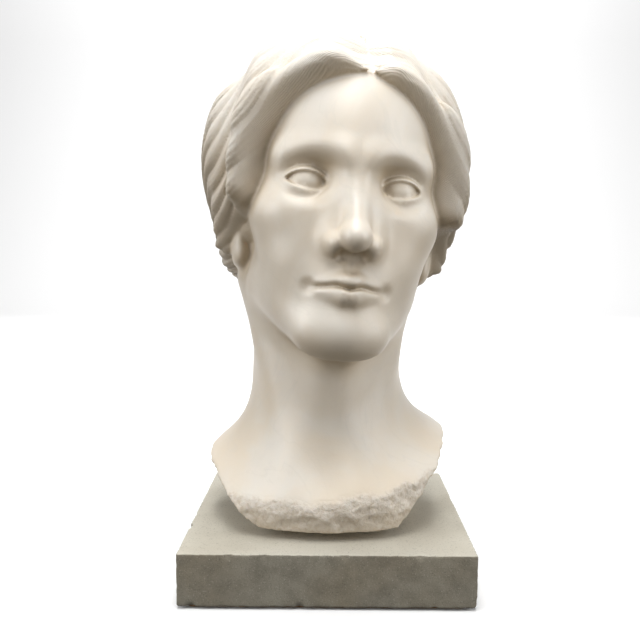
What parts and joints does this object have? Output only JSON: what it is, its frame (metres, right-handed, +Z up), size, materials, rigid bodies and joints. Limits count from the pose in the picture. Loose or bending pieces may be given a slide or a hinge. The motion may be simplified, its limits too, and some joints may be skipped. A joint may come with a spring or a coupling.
{
  "type": "marble bust",
  "caption": "Life-size carved marble head with parted wavy hair and a broken collar, pinned on a square stone plinth.",
  "frame": {"origin": "on the resting surface, under the middle of the square plinth", "axes": "+Z up, +X to the right of someone who faces the bust; the plinth's front is towards -Y, and so is the face, apart from its slight turn and lean towards +X"},
  "size_m": [0.2075, 0.2527, 0.4064],
  "materials": {
    "marble": "soft polish, aged ivory-white",
    "plinth_stone": "fine-sawn grey-green sandstone",
    "mortar": "rough, dry",
    "stainless_steel": "bright, turned",
    "resin": "cast, amber-grey",
    "black_rubber": "matt",
    "cork": "pressed granules, matt"
  },
  "bodies": {
    "root": {"marble_head": "marble", "plinth_block": "plinth_stone", "bedding_mortar": "mortar", "mounting_rod": "stainless_steel", "rod_resin": "resin", "rubber_washer": "black_rubber", "steel_washer": "stainless_steel", "spring_washer": "stainless_steel", "rod_nut": "stainless_steel", "cork_liner": "cork"}
  },
  "joints": []
}
